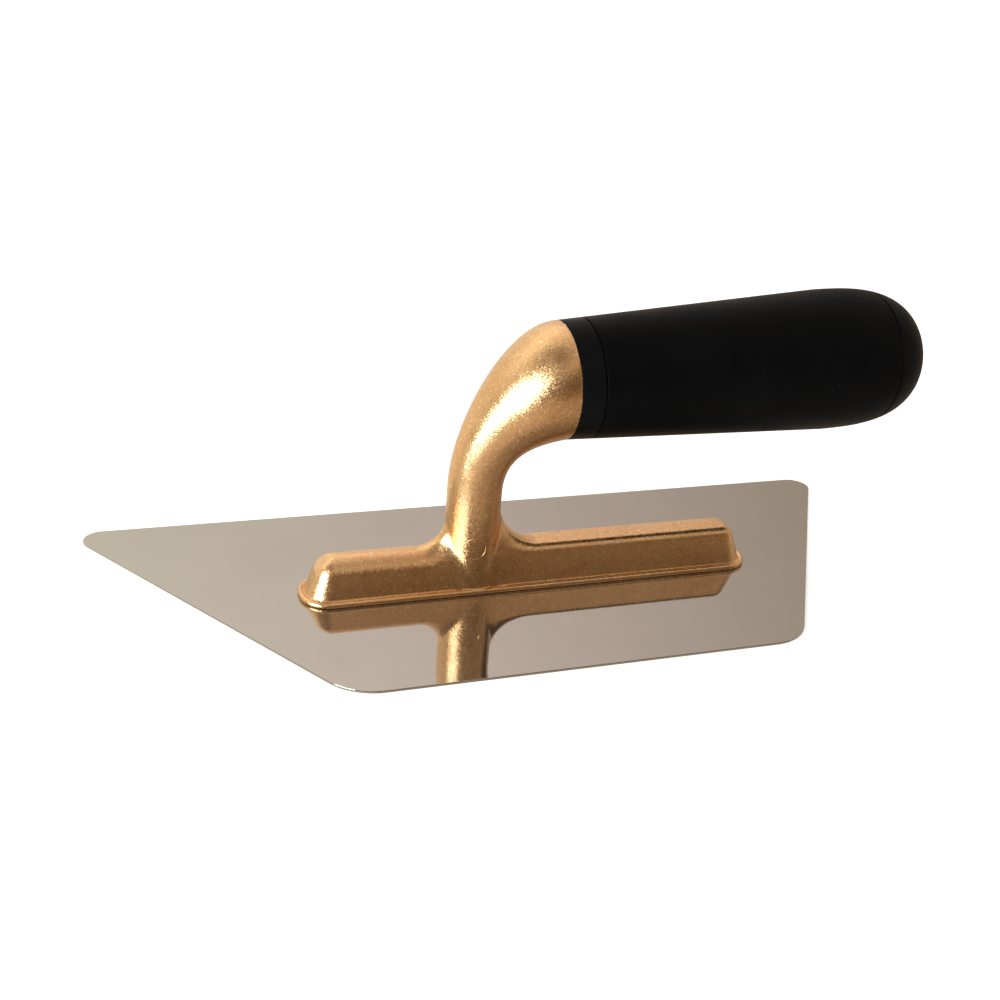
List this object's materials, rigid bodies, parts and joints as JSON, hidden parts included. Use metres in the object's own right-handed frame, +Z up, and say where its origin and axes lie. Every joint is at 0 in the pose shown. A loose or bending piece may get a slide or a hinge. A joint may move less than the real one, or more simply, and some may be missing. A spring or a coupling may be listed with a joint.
{
  "type": "inside corner finishing trowel",
  "caption": "Trapezoidal polished blade on a narrow die-cast gooseneck mounting with a soft black grip, for smoothing plaster into inside corners.",
  "frame": {"origin": "centre of the blade's flat working face, which is the middle of the object's lowest plane", "axes": "+X along the blade towards the butt of the grip, +Y towards the blade's long edge, +Z up from the working face to the grip"},
  "size_m": [0.2398, 0.0996, 0.0831],
  "materials": {
    "blade": "mirror-polished stainless steel",
    "studs": "bright drawn stainless steel",
    "casting": "die-cast, satin champagne-gold lacquer with a fine sparkle",
    "grip_core": "moulded black plastic, satin",
    "grip_sleeve": "moulded black soft-touch elastomer, satin",
    "grip_end_cap": "moulded black plastic, satin",
    "tang_screw": "zinc-plated steel",
    "tang_washer": "zinc-plated steel"
  },
  "bodies": {
    "root": {"blade": "blade", "blade_stud_1": "studs", "blade_stud_2": "studs", "blade_stud_3": "studs", "blade_stud_4": "studs", "blade_stud_5": "studs", "blade_stud_6": "studs", "mounting_casting": "casting", "grip_core": "grip_core", "grip_sleeve": "grip_sleeve", "grip_end_cap": "grip_end_cap", "tang_screw": "tang_screw", "tang_washer": "tang_washer"}
  },
  "joints": []
}
